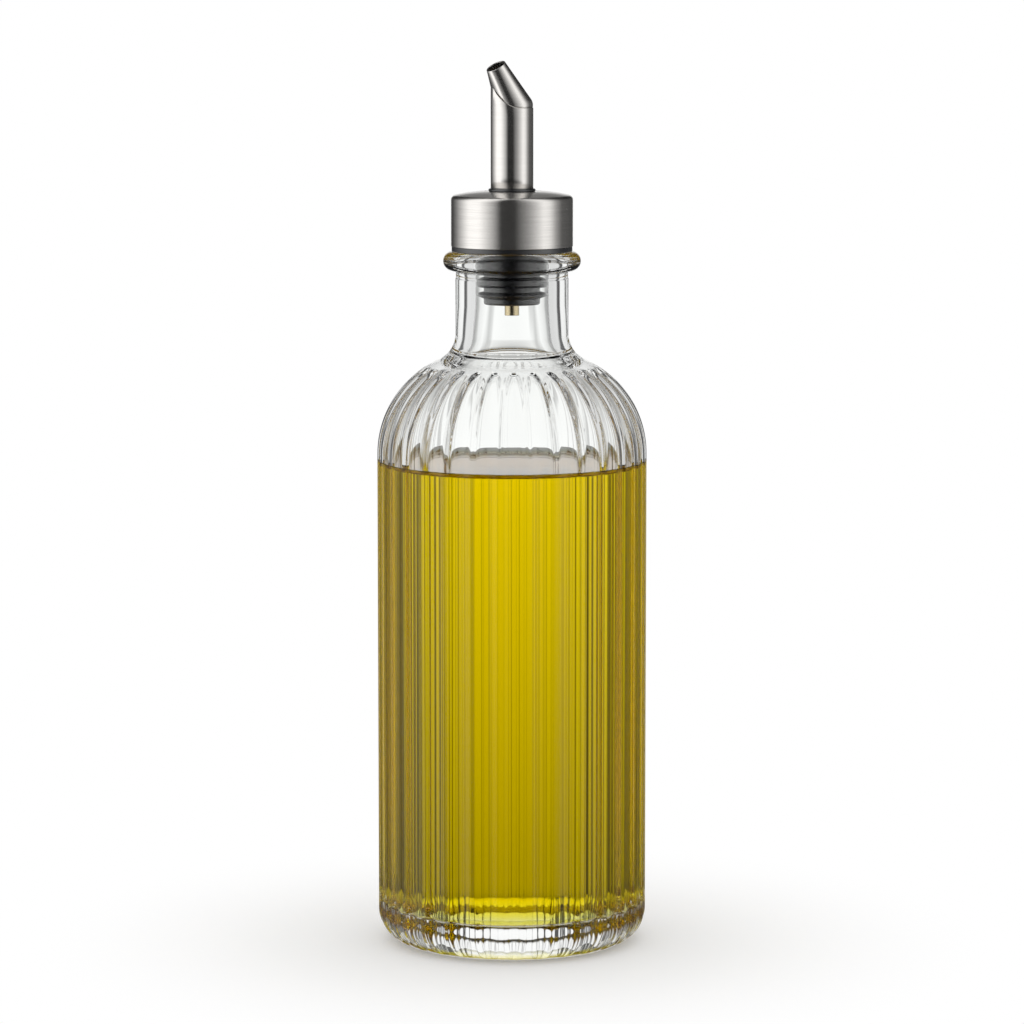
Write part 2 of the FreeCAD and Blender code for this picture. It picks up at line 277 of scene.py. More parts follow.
def around(outline, angles):
    """Rings of vertices: every outline point (r, z) turned to every angle round Z."""
    radius, height = outline[:, 0, None], outline[:, 1, None]
    flat = np.ones_like(angles)
    return np.stack((radius * np.cos(angles), radius * np.sin(angles), height * flat), axis=-1)


def even_angles(columns):
    """Evenly spaced angles round Z, from +X."""
    return np.arange(columns) * 2 * np.pi / columns


def bands(first, rows, columns, closed=False):
    """Corner numbers of the four-sided faces between rings of vertices that start at number first.

    They face outwards where the rings climb the outside. A closed surface joins its last ring to its first.
    """
    rings = first + np.arange(rows * columns).reshape(rows, columns)
    if closed:
        rings = np.vstack((rings, rings[:1]))
    ahead = np.roll(rings, -1, axis=1)
    return np.stack((rings[:-1], ahead[:-1], ahead[1:], rings[1:]), axis=-1).reshape(-1, 4).tolist()


def fan(pole, ring, upwards):
    """Triangles from a pole to a ring, given by their vertex numbers."""
    ahead = np.roll(ring, -1)
    middle = np.full_like(ring, pole)
    corners = (middle, ring, ahead) if upwards else (middle, ahead, ring)
    return np.stack(corners, axis=-1).tolist()


def between(lower, upper):
    """Faces from one ring of vertices up to another that has the same or a multiple of its vertices, or fewer."""
    few, many = sorted((lower, upper), key=len)
    times = len(many) // len(few)
    ahead = np.roll(few, -1)[:, None]
    along = np.hstack((many.reshape(-1, times), np.roll(many, -times).reshape(-1, times)[:, :1]))
    if lower is many:
        return np.hstack((along, ahead, few[:, None])).tolist()
    return np.hstack((few[:, None], ahead, along[:, ::-1])).tolist()


def closed_surface(name, first, groups, last):
    """A closed mesh: a pole, groups of rings in order and a second pole.

    A group is an array of rings. Neighbouring groups may differ in how many vertices a ring has.
    """
    vertices, faces, before = [[first]], [], None
    count = 1
    for rings in groups:
        rows, columns = rings.shape[:2]
        ring = count + np.arange(columns)
        faces += fan(0, ring, upwards=False) if before is None else between(before, ring)
        faces += bands(count, rows, columns)
        vertices.append(rings.reshape(-1, 3))
        count += rows * columns
        before = ring + (rows - 1) * columns
    vertices.append([last])
    return add_mesh(name, np.vstack(vertices), faces + fan(count, before, upwards=True))


def add_mesh(name, vertices, faces):
    """A smooth-shaded mesh object in the scene."""
    mesh = bpy.data.meshes.new(name)
    mesh.from_pydata(np.asarray(vertices).reshape(-1, 3), [], faces)
    mesh.polygons.foreach_set("use_smooth", np.ones(len(mesh.polygons), dtype=bool))
    mesh.validate()
    piece = bpy.data.objects.new(name, mesh)
    bpy.context.scene.collection.objects.link(piece)
    return piece


def turned_piece(name, outline, columns=256):
    """A closed outline turned round Z."""
    rings = around(outline, even_angles(columns))
    return add_mesh(name, rings, bands(0, len(outline), columns, closed=True))


def dress(piece, node, material):
    """Gives a piece its material, hangs it under the root body and hides the node of the frame that it stands for.
    """
    piece.data.materials.append(material)
    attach(piece, "root")
    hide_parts(node)


# ---------------------------------------------------------------- materials


def add_node(tree, kind, values=None, links=None, **attributes):
    """Adds a shader node, with its attributes, its sockets' values and the sockets that feed it."""
    node = tree.nodes.new("ShaderNode" + kind)
    for name, value in attributes.items():
        setattr(node, name, value)
    for socket, value in (values or {}).items():
        node.inputs[socket].default_value = value
    for socket, source in (links or {}).items():
        tree.links.new(source, node.inputs[socket])
    return node


def new_material(name):
    """An empty node material and its output node."""
    material = bpy.data.materials.new(name)
    material.use_nodes = True
    material.node_tree.nodes.clear()
    return material, add_node(material.node_tree, "OutputMaterial")


def opaque(tint):
    """A colour with the fourth channel that sockets need."""
    return (*tint, 1.0)


def moulded_glass(name, mirror):
    """Soda-lime glass, moulded and fire polished: bright, sharp refractions and faintly rippled skin.

    mirror is how much of a pane's faint head-on reflection it keeps. Where oil wets the glass there is none.
    """
    glass = settings("glass")
    material, output = new_material(name)
    tree = material.node_tree
    place = add_node(tree, "TexCoord").outputs["Object"]
    # Ripples about 6 mm across and a few microns deep, from the mould's cold wall
    ripples = add_node(tree, "TexNoise", {"Scale": 160.0, "Detail": 1.0, "Roughness": 0.4}, {"Vector": place})
    skin = add_node(tree, "Bump", {"Strength": 0.25, "Distance": 0.02 * MM}, {"Height": ripples.outputs["Fac"]})
    shader = add_node(
        tree,
        "BsdfPrincipled",
        {
            "Base Color": opaque(glass.tint),
            "Roughness": 0.0,
            "IOR": 1.52,
            "Transmission Weight": 1.0,
            "Specular Tint": (mirror, mirror, mirror, 1),
        },
        {"Normal": skin.outputs["Normal"]},
    )
    tree.links.new(shader.outputs["BSDF"], output.inputs["Surface"])
    return material


def pressed_oil():
    """Virgin olive oil, filtered clear: golden where it is thin, deep olive yellow where it is thick."""
    oil = settings("oil")
    material, output = new_material("olive_oil")
    tree = material.node_tree
    shader = add_node(
        tree,
        "BsdfPrincipled",
        {
            "Base Color": (1, 1, 1, 1),
            "Roughness": 0.0,
            "IOR": 1.47,
            "Transmission Weight": 1.0,
            "Specular Tint": (0, 0, 0, 1),
        },
    )
    depth = add_node(tree, "VolumeAbsorption", {"Color": opaque(oil.passed), "Density": oil.strength})
    tree.links.new(shader.outputs["BSDF"], output.inputs["Surface"])
    tree.links.new(depth.outputs["Volume"], output.inputs["Volume"])
    return material


def moulded_rubber():
    """Silicone rubber from an etched mould: charcoal, with a broad soft sheen and a faint grain."""
    pourer = settings("pourer")
    material, output = new_material("black_rubber")
    tree = material.node_tree
    place = add_node(tree, "TexCoord").outputs["Object"]
    # The mould's etched grain is about 0.1 mm across
    grain = add_node(tree, "TexNoise", {"Scale": 1 / (0.2 * MM), "Detail": 2.0}, {"Vector": place})
    skin = add_node(tree, "Bump", {"Strength": 0.08, "Distance": 0.01 * MM}, {"Height": grain.outputs["Fac"]})
    # Handling leaves patches of sheen about 8 mm across
    patches = add_node(tree, "TexNoise", {"Scale": 1 / (8 * MM), "Detail": 2.0}, {"Vector": place})
    rough = add_node(tree, "MapRange", {"To Min": 0.22, "To Max": 0.3}, {"Value": patches.outputs["Fac"]})
    shader = add_node(
        tree,
        "BsdfPrincipled",
        {
            "Base Color": opaque(pourer.rubber),
            "IOR": 1.5,
            "Specular IOR Level": 1.0,
            "Coat Weight": 0.4,
            "Coat Roughness": 0.2,
        },
        {"Roughness": rough.outputs["Result"], "Normal": skin.outputs["Normal"]},
    )
    tree.links.new(shader.outputs["BSDF"], output.inputs["Surface"])
    return material


def turned_steel(name, tint, roughness, anisotropy, lines):
    """Stainless steel brushed round the pourer's axis.

    Fine lines run round it, so reflections stay narrow from side to side and are drawn out up and down.
    lines is how strongly the single lines show.
    """
    pourer = settings("pourer")
    material, output = new_material(name)
    tree = material.node_tree
    place = add_node(tree, "TexCoord").outputs["Object"]
    # A brushed line is a streak some 15 mm long, as high as the brush line setting
    along = 1 / (15 * MM)
    across = 1 / (2 * pourer.brush_line)
    streaks = add_node(tree, "Mapping", {"Scale": (along, along, across)}, {"Vector": place})
    brushing = add_node(
        tree,
        "TexNoise",
        {"Scale": 1.0, "Detail": 3.0, "Roughness": 0.65},
        {"Vector": streaks.outputs["Vector"]},
    )
    shade = add_node(
        tree,
        "MapRange",
        {"From Min": 0.3, "From Max": 0.7, "To Min": 1 - lines, "To Max": 1.0},
        {"Value": brushing.outputs["Fac"]},
    )
    tinted = add_node(tree, "VectorMath", {0: tint}, {"Scale": shade.outputs["Result"]}, operation="SCALE")
    rough = add_node(
        tree,
        "MapRange",
        {"To Min": roughness - 0.05, "To Max": roughness + 0.05},
        {"Value": brushing.outputs["Fac"]},
    )
    skin = add_node(
        tree,
        "Bump",
        {"Strength": 0.35 * lines, "Distance": 0.01 * MM},
        {"Height": brushing.outputs["Fac"]},
    )
    round_axis = add_node(tree, "Tangent", direction_type="RADIAL", axis="Z")
    shader = add_node(
        tree,
        "BsdfPrincipled",
        {"Metallic": 1.0, "Anisotropic": anisotropy, "Anisotropic Rotation": 0.25},
        {
            "Base Color": tinted.outputs["Vector"],
            "Roughness": rough.outputs["Result"],
            "Normal": skin.outputs["Normal"],
            "Tangent": round_axis.outputs["Tangent"],
        },
    )
    tree.links.new(shader.outputs["BSDF"], output.inputs["Surface"])
    return material


# ---------------------------------------------------------------- bottle and oil

FINE_PER_FLUTE = 20
COARSE_PER_FLUTE = 5
RIDGE_CROWDING = 0.45  # how much closer the columns stand at a ridge than between ridges
# Rings of the outside round the heel, up the side and over the shoulder, then those of the inside
HEEL_ROWS, SIDE_ROWS, SHOULDER_ROWS = 22, 8, 48
DOME_ROWS, CORNER_ROWS, FLOOR_ROWS = 26, 12, 17
# Slow waves in the blown inside: how many go round, their drift for each metre up, their start and their share
WAVES = ((2, 9, 0.0, 1.0), (3, -31, 1.3, 0.7), (5, 57, 4.1, 0.5), (7, -96, 2.2, 0.4))


def shoulder_start(glass):
    """Height where the side ends and the shoulder starts."""
    return glass.glass_top - glass.shoulder_depth


def column_angles(glass):
    """Angles of the bottle's columns. The first stands on a ridge, and they are closest at the ridges."""
    share = np.arange(glass.flutes * FINE_PER_FLUTE) / FINE_PER_FLUTE
    eased = share - RIDGE_CROWDING * np.sin(2 * np.pi * share) / (2 * np.pi)
    pitch = 2 * np.pi / glass.flutes
    return -np.pi / 2 + glass.flute_turn + (eased + 0.5) * pitch


def rippled(glass, rings):
    """Rings with the unevenness of blown glass: the radius less a sum of sine waves, which never goes outwards."""
    x, y, height = rings[..., 0], rings[..., 1], rings[..., 2]
    angles, radius = np.arctan2(y, x), np.hypot(x, y)
    highest = sum(part for *_, part in WAVES)
    waves = sum(part * np.sin(count * angles + drift * height + start) for count, drift, start, part in WAVES)
    share = 1 + glass.ripple * (waves - highest) / (2 * highest) / radius
    return np.stack((x * share, y * share, height), axis=-1)


def flute_carving(glass, angles, rise, softness):
    """How deep the flutes go at each angle, for rings where the flute's bottom has risen by rise.

    A flute is the hollow that a round bar leaves in the body: body radius less the bar's near side. Where the
    hollow meets the body the two are blended over the softness, which rounds the ridges.
    """
    pitch = 2 * np.pi / glass.flutes
    start = -np.pi / 2 + glass.flute_turn - pitch / 2
    aside = np.mod(angles - start, pitch) - pitch / 2
    centre = glass.body_radius - glass.flute_depth + glass.flute_radius
    near = centre * np.cos(aside) - np.sqrt(glass.flute_radius**2 - (centre * np.sin(aside)) ** 2)
    depth = glass.body_radius - near - rise
    blend = np.maximum(softness - np.abs(depth), 0) ** 2 / (4 * softness)
    return np.maximum(depth, 0) + blend


def sunk_rings(glass, angles, radius, height, turn, softness, share, power):
    """Rings of a plain outline, sunk along its normal by a share of the flutes' depth.

    Turn is the normal's angle above level. Up the shoulder the flutes' bottoms rise with a power of it, and
    round the heel with its cube, so that they end in round arches.
    """
    rise = np.where(
        turn > 0, np.abs(turn / glass.flute_top) ** power, np.abs(turn / glass.flute_foot) ** 3
    ) * (glass.flute_depth + softness)
    sunk = share * flute_carving(glass, angles[None, :], rise[:, None], softness)
    out = radius[:, None] - sunk * np.cos(turn)[:, None]
    up = height[:, None] - sunk * np.sin(turn)[:, None]
    return np.stack((out * np.cos(angles), out * np.sin(angles), up), axis=-1)


def outer_rings(glass, angles):
    """The fluted part of the outside, from round the heel to high on the shoulder."""
    heel_r, shoulder_r = glass.heel_radius, glass.body_radius - glass.shoulder_centre
    low, high = heel_r, shoulder_start(glass)
    # The rings go a little past the flutes at both ends, and stand closest at their arches
    foot, crown = -glass.flute_foot * 1.04, glass.flute_top * 1.03
    heel_turn = foot * (1 - np.arange(HEEL_ROWS) / HEEL_ROWS) ** 1.25
    side = np.arange(SIDE_ROWS) / SIDE_ROWS
    shoulder_turn = crown * (1 - (1 - np.arange(SHOULDER_ROWS) / (SHOULDER_ROWS - 1)) ** 1.5)
    turn = np.concatenate((heel_turn, np.zeros_like(side), shoulder_turn))
    radius = np.concatenate(
        (
            glass.body_radius - heel_r + heel_r * np.cos(heel_turn),
            np.full_like(side, glass.body_radius),
            glass.shoulder_centre + shoulder_r * np.cos(shoulder_turn),
        )
    )
    height = np.concatenate(
        (heel_r + heel_r * np.sin(heel_turn), low + (high - low) * side, high + shoulder_r * np.sin(shoulder_turn))
    )
    return sunk_rings(glass, angles, radius, height, turn, glass.ridge_round, 1.0, 15), foot, crown


def foot_outline(glass, last_turn):
    """Outline from the middle of the punt over the ring that it stands on and round the heel.

    The punt's height is its full height less the eighth power of the distance: flat, with a steep edge.
    """
    ring_r = glass.body_radius - glass.heel_radius
    punt_r = ring_r - glass.foot_rim
    share = np.linspace(0, 1, 28, endpoint=False)[:, None] ** 0.6
    return np.vstack(
        (
            np.hstack((share * punt_r, glass.punt * (1 - share**8))),
            line((punt_r, 0), (ring_r, 0), 4),
            arc((ring_r, glass.heel_radius), glass.heel_radius, -np.pi / 2, last_turn, 5),
        )
    )


def neck_outline(glass, first_turn):
    """Outline from the end of the flutes up the neck, over the lip, down the bore and out to the dome."""
    shoulder_r = glass.body_radius - glass.shoulder_centre
    base_z = shoulder_start(glass)
    fillet_r = glass.neck_radius + glass.neck_fillet
    both = shoulder_r + glass.neck_fillet
    fillet_z = base_z + np.sqrt(both**2 - (fillet_r - glass.shoulder_centre) ** 2)
    blend = np.arctan2(fillet_z - base_z, fillet_r - glass.shoulder_centre)
    seam_z = glass.glass_top - glass.seam_depth
    inset = glass.neck_radius - glass.seam_step
    bead_r = glass.neck_radius + glass.lip_overhang - glass.lip_bead
    lip_z = glass.glass_top - glass.lip_bead
    under_lip = 0.5 * MM  # rounding where the lip grows out of the neck
    soft = 0.15 * MM
    mouth = glass.mouth_round
    return np.vstack(
        (
            arc((glass.shoulder_centre, base_z), shoulder_r, first_turn, blend, 4)[1:],
            arc((fillet_r, fillet_z), glass.neck_fillet, np.pi + blend, np.pi, 18),
            line((glass.neck_radius, fillet_z), (glass.neck_radius, seam_z - soft), 10),
            bend((glass.neck_radius, seam_z - soft), (glass.neck_radius, seam_z), (inset, seam_z + soft), 4),
            line((inset, seam_z + soft), (inset, lip_z - glass.lip_bead - under_lip), 3),
            bend(
                (inset, lip_z - glass.lip_bead - under_lip),
                (inset, lip_z - glass.lip_bead),
                (bead_r, lip_z - glass.lip_bead),
                5,
            ),
            arc((bead_r, lip_z), glass.lip_bead, -np.pi / 2, np.pi / 2, 24),
            line((bead_r, glass.glass_top), (glass.bore_radius + mouth, glass.glass_top), 5),
            arc((glass.bore_radius + mouth, glass.glass_top - mouth), mouth, np.pi / 2, np.pi, 6),
            line(
                (glass.bore_radius, glass.glass_top - mouth),
                (glass.bore_radius, glass.glass_top - glass.flare_depth),
                8,
            ),
        )
    )


def dome_centre(glass):
    """Centre (r, z) of the arc that shapes the shoulder and the dome inside it."""
    return np.array((glass.shoulder_centre, shoulder_start(glass)))


def throat_outline(glass):
    """Outline of the bore's flare and of the large rounding from it to the dome, and the dome's first angle.

    The ridge in it is a bell curve of the height, added to the rounding's radius.
    """
    dome_r = glass.body_radius - glass.shoulder_centre - glass.wall
    middle = dome_centre(glass)
    corner = np.arccos((glass.bore_radius + glass.bore_flare - glass.shoulder_centre) / dome_r)
    flare = np.array((glass.bore_radius, glass.glass_top - glass.flare_depth))
    down = middle + dome_r * np.array((np.cos(corner), np.sin(corner))) - flare
    down /= np.linalg.norm(down)
    aside = np.array((-down[1], down[0]))
    # The rounding's circle touches the flare and, from outside, the dome
    offset = flare + aside * glass.bore_foot - middle
    along = -offset @ down - np.sqrt((offset @ down) ** 2 - offset @ offset + (dome_r + glass.bore_foot) ** 2)
    centre = flare + down * along + aside * glass.bore_foot
    dome_turn = np.arctan2(*(centre - middle)[::-1])
    rounding = arc(centre, glass.bore_foot, np.pi + np.arctan2(aside[1], aside[0]), np.pi + dome_turn, 36)
    from_ridge = (rounding[:, 1] - glass.throat_height) / glass.throat_width
    bump = glass.throat_ridge * np.exp(-(from_ridge**2))
    ridged = centre + (rounding - centre) * (1 + bump / glass.bore_foot)[:, None]
    return np.vstack((line(flare, flare + down * along, 8), ridged)), dome_turn


def inner_rings(glass, angles, first_turn, grown=0.0):
    """The inside that follows the flutes, from first_turn in the dome down the wall and round the floor's corner.

    Grown moves it out into the glass. Where first_turn is None it starts at the oil's level.
    """
    middle = dome_centre(glass)
    dome_r = glass.body_radius - glass.shoulder_centre - glass.wall + grown
    wall_r = glass.body_radius - glass.wall + grown
    corner_r = glass.floor_corner + grown
    low = glass.floor - grown + corner_r
    if first_turn is None:
        dome_turn, high = np.zeros(0), settings("oil").level
    else:
        dome_turn, high = first_turn * (1 - np.arange(DOME_ROWS) / DOME_ROWS), middle[1]
    corner_turn = -np.pi / 2 * np.arange(CORNER_ROWS + 1) / CORNER_ROWS
    side = np.arange(SIDE_ROWS) / SIDE_ROWS
    turn = np.concatenate((dome_turn, np.zeros_like(side), corner_turn))
    radius = np.concatenate(
        (
            middle[0] + dome_r * np.cos(dome_turn),
            np.full_like(side, wall_r),
            wall_r - corner_r + corner_r * np.cos(corner_turn),
        )
    )
    height = np.concatenate(
        (middle[1] + dome_r * np.sin(dome_turn), high + (low - high) * side, low + corner_r * np.sin(corner_turn))
    )
    rings = sunk_rings(glass, angles, radius, height, turn, glass.inner_round, glass.inner_share, 8)
    return rippled(glass, rings)


def floor_rings(glass, angles, grown=0.0):
    """The inside's floor from its corner to near the middle: a low dome, one less the distance squared.

    Its edge is rounded off by a factor of one less the distance to the power of twelve.
    """
    share = 1 - np.linspace(0, 1, FLOOR_ROWS + 2)[1:-1] ** 1.5
    radii = (glass.body_radius - glass.wall - glass.floor_corner) * share
    height = glass.floor - grown + glass.floor_rise * (1 - share**2) * (1 - share**12)
    return around(np.stack((radii, height), axis=1), angles)


def build_bottle():
    """The glass: fine columns where it is fluted, coarse ones elsewhere, in one closed surface."""
    glass = settings("glass")
    fine = column_angles(glass)
    coarse = fine[:: FINE_PER_FLUTE // COARSE_PER_FLUTE]
    outside, foot, crown = outer_rings(glass, fine)
    throat, dome_turn = throat_outline(glass)
    groups = (
        around(foot_outline(glass, foot)[1:], coarse),
        outside,
        around(np.vstack((neck_outline(glass, crown), throat)), coarse),
        inner_rings(glass, fine, dome_turn),
        floor_rings(glass, coarse),
    )
    piece = closed_surface("glass_bottle", (0, 0, glass.punt), groups, (0, 0, glass.floor + glass.floor_rise))
    dress(piece, "bottle", moulded_glass("clear_glass", 0.25))
    piece.data.materials.append(moulded_glass("oiled_glass", 0.0))
    # Inside, below the oil's surface, the glass is wet
    middles = np.zeros(len(piece.data.polygons) * 3)
    piece.data.polygons.foreach_get("center", middles)
    x, y, z = middles.reshape(-1, 3).T
    close, oil = 0.1 * MM, settings("oil")
    inside = np.hypot(x, y) < glass.body_radius - glass.wall + close
    wet = inside & (z > glass.floor - close) & (z < oil.level + oil.meniscus_rise)
    piece.data.polygons.foreach_set("material_index", wet.astype(np.int32))


def build_oil():
    """The oil: the inside of the bottle grown a little into the wall, under a surface that climbs the glass.

    The surface's height is the level plus a rise that dies away exponentially from the wall.
    """
    glass, oil = settings("glass"), settings("oil")
    angles = column_angles(glass)
    few = angles[:: FINE_PER_FLUTE // COARSE_PER_FLUTE]
    walls = inner_rings(glass, angles, None, oil.reach)
    edge = walls[0]
    away = np.geomspace(0.05 * MM, oil.fine_width, 26)[::-1]
    edge_r = np.hypot(edge[:, 0], edge[:, 1])
    # Rings at distances from the wall; the flutes fade away from it
    plain = edge_r.max()
    share = 1 - np.concatenate((away, [0.0])) / plain
    radius = share[:, None] * (plain - (plain - edge_r) * share[:, None] ** 6)
    rise = oil.level + oil.meniscus_rise * np.exp(-(1 - share) * plain / oil.meniscus_width)
    top_rings = np.stack(
        (radius * np.cos(angles), radius * np.sin(angles), rise[:, None] * np.ones_like(angles)), axis=-1
    )
    # Three rings close under the edge keep it sharp where the surface is shaded smooth
    support = 0.03 * MM
    under = np.repeat(top_rings[-1:], 3, axis=0)
    under[:, :, 2] -= np.array((1, 2, 3))[:, None] * support
    flat = np.linspace(0.1, 1.0, 8) * (plain - oil.fine_width - 0.5 * MM)
    groups = (
        around(np.stack((flat, np.full_like(flat, oil.level)), axis=1), few),
        np.concatenate((top_rings, under, walls)),
        floor_rings(glass, few, oil.reach),
    )
    lowest = glass.floor + glass.floor_rise - oil.reach
    piece = closed_surface("olive_oil_fill", (0, 0, oil.level), groups, (0, 0, lowest))
    piece.data.flip_normals()
    dress(piece, "oil", pressed_oil())


# ---------------------------------------------------------------- pourer

# Depths of a fin below the glass's top: its underside, its edge's bottom and top, and the end of its slope
UPPER_FIN = (9.3 * MM, 8.7 * MM, 7.7 * MM, 6.6 * MM)
LOWER_FIN = (12.5 * MM, 11.5 * MM, 11.2 * MM, 10.7 * MM)


def build_stopper():
    """The rubber moulding: flange, thick root, two sealing fins and the plug's end, turned round the axis."""
    glass, pourer = settings("glass"), settings("pourer")
    bore = glass.bore_radius
    hole = half_width("feed_tube")
    plug, fin, root = bore - pourer.plug_gap, bore - pourer.fin_gap, bore - pourer.root_gap
    flange = half_width("stopper")
    glass_top, low, high = glass.glass_top, bottom("stopper"), top("stopper")
    root_z = glass_top - pourer.root_depth
    upper_under, upper_low, upper_high, upper_top = (glass_top - depth for depth in UPPER_FIN)
    lower_under, lower_low, lower_high, lower_top = (glass_top - depth for depth in LOWER_FIN)
    small, thin = pourer.rubber_round, pourer.fin_edge_round
    corners = (
        (hole, low, small / 2),
        (plug, low, pourer.plug_round),
        (plug, lower_under, small),
        (fin, lower_low, thin),
        (fin, lower_high, thin),
        (plug, lower_top, small),
        (plug, upper_under, small),
        (bore - pourer.fin_ledge, upper_under, small),
        (fin, upper_low, small),
        (fin, upper_high, small),
        (plug, upper_top, small),
        (plug, root_z, small),
        (root, root_z, small),
        (root, glass_top, small),
        (flange, glass_top, small),
        (flange, high, small),
        (hole, high, small / 2),
    )
    piece = turned_piece("rubber_stopper", rounded_outline(corners, support=0.02 * MM, steps=4))
    dress(piece, "stopper", moulded_rubber())


def build_feed_tube():
    """The thin tube that stands out below the stopper: a rectangle with rounded corners turned round Z."""
    pourer = settings("pourer")
    outer = half_width("feed_tube")
    inner = outer - pourer.feed_wall
    low, high = bottom("feed_tube"), top("feed_tube")
    edge = pourer.steel_round
    corners = ((inner, low, edge), (outer, low, edge), (outer, high, edge), (inner, high, edge))
    piece = turned_piece("feed_tube_steel", rounded_outline(corners), columns=96)
    dress(piece, "feed_tube", turned_steel("drawn_steel", pourer.drawn, 0.2, 0.3, 0.1))


def build_cap():
    """The steel cap: straight sides, a rounded upper edge and a low dome that is an arc of a large circle."""
    pourer = settings("pourer")
    radius, low, crown = half_width("cap"), bottom("cap"), top("cap")
    hole = half_width("spout_tube")
    land = half_width("o_ring") + pourer.cap_land
    fall = pourer.cap_crown
    dome = ((radius - land) ** 2 + fall**2) / (2 * fall)
    rounding = pourer.cap_round
    # The rounding's circle touches the side and the dome from within
    centre_r = radius - rounding
    centre_z = crown - dome + np.sqrt((dome - rounding) ** 2 - (centre_r - land) ** 2)
    meets = np.arctan2(centre_z - crown + dome, centre_r - land)
    seat = bottom("spout_tube")
    feed = half_width("feed_tube")
    support = 0.1 * MM
    outline = np.vstack(
        (
            line((feed, low), (radius - support, low), 3),
            bend((radius - support, low), (radius, low), (radius, low + support), 4),
            line((radius, low + support), (radius, low + 2 * support), 1),
            line((radius, low + 2 * support), (radius, centre_z - support), 6),
            line((radius, centre_z - support), (radius, centre_z), 1),
            arc((centre_r, centre_z), rounding, 0, meets, 12),
            arc((land, crown - dome), dome, meets, np.pi / 2, 24),
            line((land, crown), (hole, crown), 3),
            line((hole, crown), (hole, seat), 2),
            line((hole, seat), (feed, seat), 2),
            line((feed, seat), (feed, low), 2),
        )
    )
    piece = turned_piece("steel_cap", outline, columns=320)
    dress(piece, "cap", turned_steel("brushed_cap_steel", pourer.steel, 0.25, 0.85, 0.14))


def build_ring():
    """The rubber ring round the spout's foot: a half round bead turned round Z."""
    inner, outer = half_width("spout_tube"), half_width("o_ring")
    low, high = bottom("o_ring"), top("o_ring")
    half = (high - low) / 2
    outline = np.vstack(
        (
            line((inner, low), (outer - half, low), 2),
            arc((outer - half, low + half), half, -np.pi / 2, np.pi / 2, 14),
            line((outer - half, high), (inner, high), 2),
            line((inner, high), (inner, low), 2),
        )
    )
    piece = turned_piece("rubber_ring", outline, columns=192)
    dress(piece, "o_ring", moulded_rubber())


def ring_of(radius, height, angles):
    """One ring of vertices, of a radius and height that may vary round it."""
    flat = np.ones_like(angles)
    return np.stack((radius * np.cos(angles), radius * np.sin(angles), height * flat), axis=-1)


def spout_rim(radius, angles):
    """Height of the spout's rim.

    It is level at the back. From a little behind the axis towards the lip it follows a quarter circle that
    starts level and turns upright: back height plus scoop radius less the circle's fall at that distance.
    """
    pourer = settings("pourer")
    tip = top("spout_tube")
    scoop = half_width("spout_tube") + pourer.scoop_extra
    ahead = np.clip(radius * np.cos(angles - pourer.lip_azimuth) + pourer.scoop_start, 0, scoop)
    return np.minimum(tip, tip - pourer.lip_rise + scoop - np.sqrt(scoop**2 - ahead**2))


def build_spout():
    """The spout tube with its drip lip: its wall's two sides and a rounded edge along the rim."""
    pourer = settings("pourer")
    angles = even_angles(360)
    outer = half_width("spout_tube")
    inner = outer - pourer.tube_wall
    low = bottom("spout_tube")
    edge = pourer.steel_round

    def rim(radius):
        return spout_rim(radius, angles)

    rows = [ring_of(outer, low, angles)]
    rows += [ring_of(outer, low + (rim(outer) - low - edge) * share, angles) for share in (0.3, 0.6, 0.9, 1)]
    for turn in np.linspace(0, np.pi / 2, 5)[1:]:
        radius = outer - edge + edge * np.cos(turn)
        rows.append(ring_of(radius, rim(radius) - edge + edge * np.sin(turn), angles))
    for turn in np.linspace(np.pi / 2, np.pi, 5):
        radius = inner + edge + edge * np.cos(turn)
        rows.append(ring_of(radius, rim(radius) - edge + edge * np.sin(turn), angles))
    rows += [ring_of(inner, low + (rim(inner) - low - edge) * share, angles) for share in (0.9, 0.6, 0.3, 0)]
    piece = add_mesh("steel_spout", rows, bands(0, len(rows), len(angles), closed=True))
    dress(piece, "spout_tube", turned_steel("brushed_spout_steel", pourer.steel, 0.17, 0.35, 0.08))


